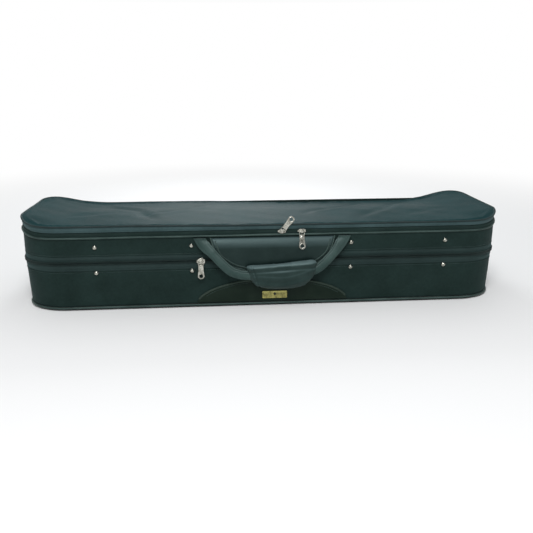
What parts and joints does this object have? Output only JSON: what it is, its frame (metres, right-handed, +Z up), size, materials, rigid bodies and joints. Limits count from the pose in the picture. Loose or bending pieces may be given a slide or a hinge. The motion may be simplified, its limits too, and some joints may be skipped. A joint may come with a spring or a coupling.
{
  "type": "violin case",
  "caption": "Oblong zip-up violin case: padded nylon-covered body and hinged lid, zipped music pocket on top, front handle and a fitted plush interior.",
  "frame": {"origin": "middle of the base panel's underside, on the surface that the case lies on", "axes": "+X along the case towards the right end seen from the front, +Y to the rear hinge, +Z up"},
  "size_m": [0.78, 0.2758, 0.1465],
  "materials": {
    "nylon": "coarse coated nylon weave, dark blue-green black",
    "nylon_top": "the same nylon where it lies flat and catches the light",
    "piping": "leatherette cord piping, satin",
    "leatherette": "grained leatherette, brown-black, satin",
    "strap": "leatherette over webbing, edge stitched",
    "zip_tape": "woven polyester zip tape with coil teeth",
    "foam_core": "rigid foam board",
    "plush": "short-pile plush, dark blue",
    "ribbon": "woven ribbon",
    "nickel": "pale nickel plate, lightly worn",
    "steel": "plain spring steel",
    "brass": "aged brass plate",
    "moulding": "black moulded plastic"
  },
  "bodies": {
    "body": {"base_panel": "nylon", "base_piping": "piping", "body_shell": "foam_core", "body_cover": "nylon", "body_lining": "plush", "bed_floor": "plush", "violin_bed": "plush", "accessory_box": "plush", "neck_cradle": "plush", "main_zip_lower": "zip_tape", "hinge_tape_lower": "nylon", "lower_patch": "leatherette", "badge": "brass", "lid_stay_left": "ribbon", "lid_stay_right": "ribbon", "body_rivet_1": "nickel", "body_rivet_2": "nickel", "body_rivet_3": "nickel", "body_rivet_4": "nickel", "catch_tongue_1": "steel", "catch_tongue_2": "steel", "catch_tongue_3": "steel", "catch_tongue_4": "steel"},
    "lid": {"lid_shell": "foam_core", "lid_cover": "nylon", "lid_lining": "plush", "lid_top_panel": "nylon_top", "lid_piping": "piping", "main_zip_upper": "zip_tape", "pocket_zip_lower": "zip_tape", "hinge_tape_upper": "nylon", "bow_tip_loop_1": "plush", "bow_tip_loop_2": "plush", "lid_rivet_1": "nickel", "lid_rivet_2": "nickel", "lid_rivet_3": "nickel", "lid_rivet_4": "nickel", "catch_keeper_1": "steel", "catch_keeper_2": "steel", "catch_keeper_3": "steel", "catch_keeper_4": "steel"},
    "pocket": {"pocket_panel": "nylon_top", "pocket_gusset": "nylon", "pocket_piping": "piping", "pocket_zip_upper": "zip_tape"},
    "main_slider_left": {"main_slider_left": "nickel"},
    "main_pull_left": {"main_pull_left": "nickel"},
    "main_slider_right": {"main_slider_right": "nickel", "main_pull_right": "nickel"},
    "pocket_slider_left": {"pocket_slider_left": "nickel"},
    "pocket_pull_left": {"pocket_pull_left": "nickel"},
    "pocket_slider_right": {"pocket_slider_right": "nickel"},
    "pocket_pull_right": {"pocket_pull_right": "nickel"},
    "handle": {"handle_strap": "strap", "handle_grip": "leatherette"},
    "flap": {"zip_flap": "leatherette"},
    "accessory_lid": {"accessory_lid": "plush"},
    "neck_strap": {"neck_strap": "ribbon"},
    "bow_spinner_1": {"bow_spinner_1": "moulding"},
    "bow_spinner_2": {"bow_spinner_2": "moulding"}
  },
  "joints": [
    {"name": "lid_hinge", "type": "hinge", "parent": "body", "child": "lid", "pos_m": [0, 0.127, 0.077], "axis": [-1, 0, 0], "range_deg": [0, 95], "deforming": ["lid_stay_left", "lid_stay_right"]},
    {"name": "pocket_hinge", "type": "hinge", "parent": "lid", "child": "pocket", "pos_m": [0, 0.126, 0.1185], "axis": [-1, 0, 0], "range_deg": [0, 75]},
    {"name": "handle_hinge", "type": "hinge", "parent": "lid", "child": "handle", "pos_m": [0, -0.1285, 0.112], "axis": [-1, 0, 0], "range_deg": [0, 95]},
    {"name": "flap_hinge", "type": "hinge", "parent": "lid", "child": "flap", "pos_m": [0.008, -0.1266, 0.1128], "axis": [-1, 0, 0], "range_deg": [0, 47.5]},
    {"name": "main_slider_left_slide", "type": "slide", "parent": "body", "child": "main_slider_left", "axis": [1, 0, 0], "range_m": [-0.19, 0]},
    {"name": "main_pull_left_hinge", "type": "hinge", "parent": "main_slider_left", "child": "main_pull_left", "pos_m": [-0.106, -0.1302, 0.077], "axis": [-1, 0, 0], "range_deg": [0, 110]},
    {"name": "main_slider_right_slide", "type": "slide", "parent": "body", "child": "main_slider_right", "axis": [1, 0, 0], "range_m": [0, 0.12]},
    {"name": "pocket_slider_left_slide", "type": "slide", "parent": "lid", "child": "pocket_slider_left", "axis": [1, 0, 0], "range_m": [-0.32, 0.012]},
    {"name": "pocket_pull_left_hinge", "type": "hinge", "parent": "pocket_slider_left", "child": "pocket_pull_left", "pos_m": [0.022, -0.1284, 0.12255], "axis": [-0.7883, 0, 0.6153], "range_deg": [-160, 0]},
    {"name": "pocket_slider_right_slide", "type": "slide", "parent": "lid", "child": "pocket_slider_right", "axis": [1, 0, 0], "range_m": [-0.004, 0.245]},
    {"name": "pocket_pull_right_hinge", "type": "hinge", "parent": "pocket_slider_right", "child": "pocket_pull_right", "pos_m": [0.0535, -0.1284, 0.12255], "axis": [-1, 0, 0], "range_deg": [0, 127]},
    {"name": "accessory_lid_hinge", "type": "hinge", "parent": "body", "child": "accessory_lid", "pos_m": [-0.31, 0.1078, 0.0675], "axis": [-1, 0, 0], "range_deg": [0, 57]},
    {"name": "neck_strap_hinge", "type": "hinge", "parent": "body", "child": "neck_strap", "pos_m": [-0.197, 0.036, 0.0632], "axis": [-1, 0, 0], "range_deg": [0, 95]},
    {"name": "bow_spinner_1_hinge", "type": "hinge", "parent": "lid", "child": "bow_spinner_1", "pos_m": [0.262, -0.04, 0.1079], "axis": [0, 0, 1], "range_deg": [0, 90]},
    {"name": "bow_spinner_2_hinge", "type": "hinge", "parent": "lid", "child": "bow_spinner_2", "pos_m": [0.262, 0.04, 0.1079], "axis": [0, 0, 1], "range_deg": [0, 90]}
  ],
  "couplings": [
    {"joint": "flap_hinge", "follows": "handle_hinge", "ratio": 0.5},
    {"joint": "pocket_pull_right_hinge", "follows": "handle_hinge", "ratio": 1.3333},
    {"joint": "accessory_lid_hinge", "follows": "lid_hinge", "ratio": 0.6},
    {"joint": "neck_strap_hinge", "follows": "lid_hinge", "ratio": 1}
  ]
}
